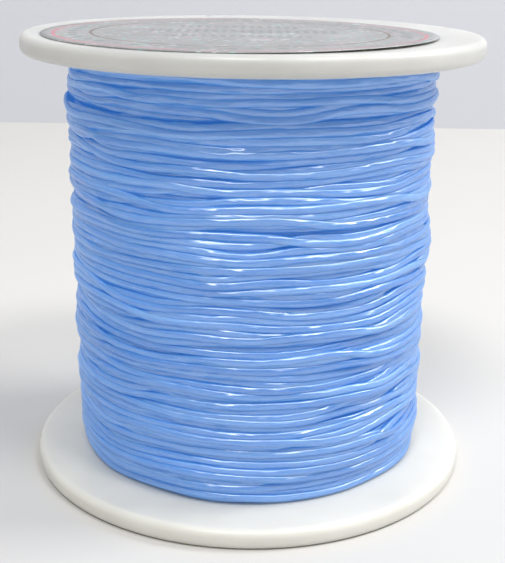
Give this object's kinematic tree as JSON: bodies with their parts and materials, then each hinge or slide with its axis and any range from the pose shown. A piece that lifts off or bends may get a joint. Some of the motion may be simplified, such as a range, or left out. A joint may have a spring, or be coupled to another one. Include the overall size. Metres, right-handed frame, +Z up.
{
  "type": "line spool",
  "caption": "Small upright spool with round flanges, wound full with blue translucent fishing line and carrying a round foil sticker.",
  "frame": {"origin": "middle of the lower flange's outer face, the face that the spool stands on", "axes": "+Z up along the spool's axis towards the labelled flange, -Y towards the viewer, the line slits in the rims on the +Y side"},
  "size_m": [0.046, 0.046, 0.0454],
  "materials": {
    "milky_plastic": "moulded milky white polyethylene, satin, slightly translucent",
    "core_plastic": "moulded milky white polyethylene, matt",
    "line_blue": "translucent cornflower blue drawn line, glossy",
    "label_foil": "silver grey foil paper with a faint rainbow sheen and thin printed rings"
  },
  "bodies": {
    "root": {"core_tube": "core_plastic", "lower_flange": "milky_plastic", "upper_flange": "milky_plastic", "line_winding": "line_blue", "top_label": "label_foil"}
  },
  "joints": []
}
